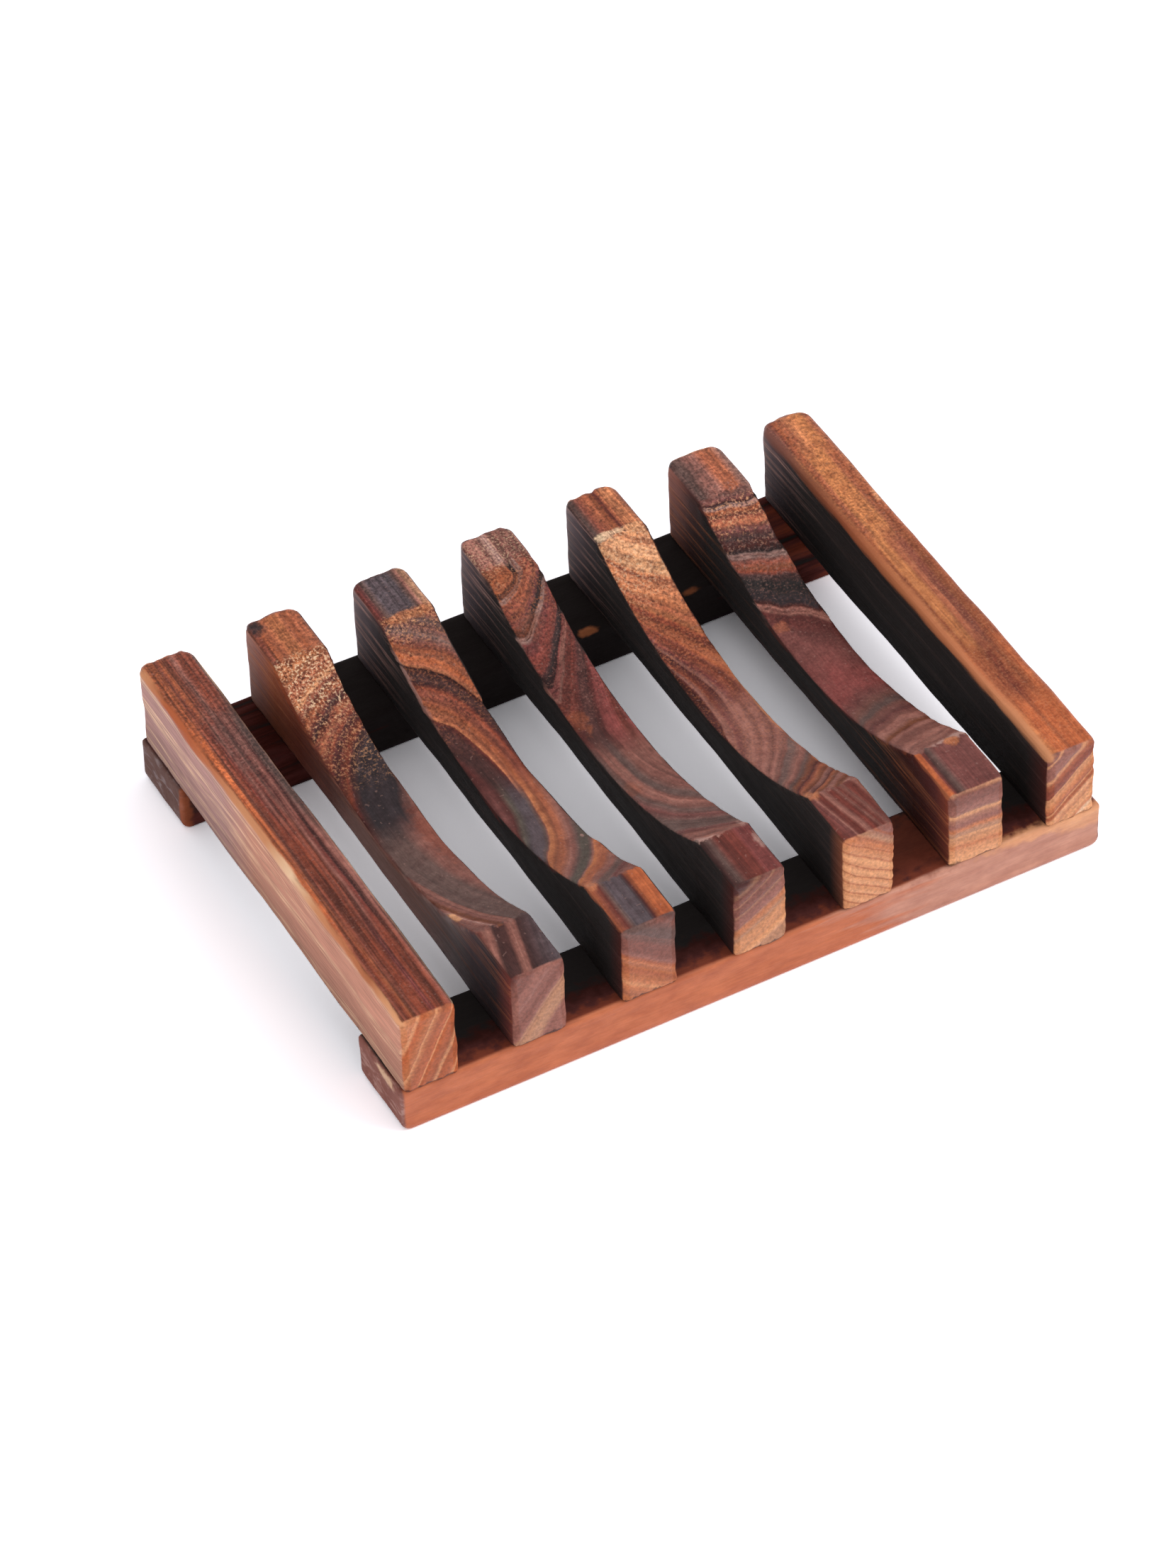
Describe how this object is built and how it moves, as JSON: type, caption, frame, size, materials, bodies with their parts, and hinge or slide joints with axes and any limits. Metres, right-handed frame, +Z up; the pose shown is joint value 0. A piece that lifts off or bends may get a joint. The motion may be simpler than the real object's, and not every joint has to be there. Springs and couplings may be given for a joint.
{
  "type": "soap dish",
  "caption": "Slatted wooden soap dish: scooped slats between straight side slats, nailed across two rails, so that a bar of soap lies in the hollow and drains through the gaps.",
  "frame": {"origin": "middle of the footprint, on the surface that the dish stands on", "axes": "+X along the rails, to the right as seen from the front; +Y along the slats, from front to rear; +Z up"},
  "size_m": [0.115, 0.084, 0.022],
  "materials": {
    "slat_wood": "charred, brushed and lacquered softwood, satin",
    "rail_wood": "charred, brushed and lacquered softwood, satin",
    "brad_steel": "plain steel wire, dull"
  },
  "bodies": {
    "root": {"left_side_slat": "slat_wood", "scooped_slat_1": "slat_wood", "scooped_slat_2": "slat_wood", "scooped_slat_3": "slat_wood", "scooped_slat_4": "slat_wood", "scooped_slat_5": "slat_wood", "right_side_slat": "slat_wood", "front_rail": "rail_wood", "rear_rail": "rail_wood", "front_rail_brads": "brad_steel", "rear_rail_brads": "brad_steel"}
  },
  "joints": []
}
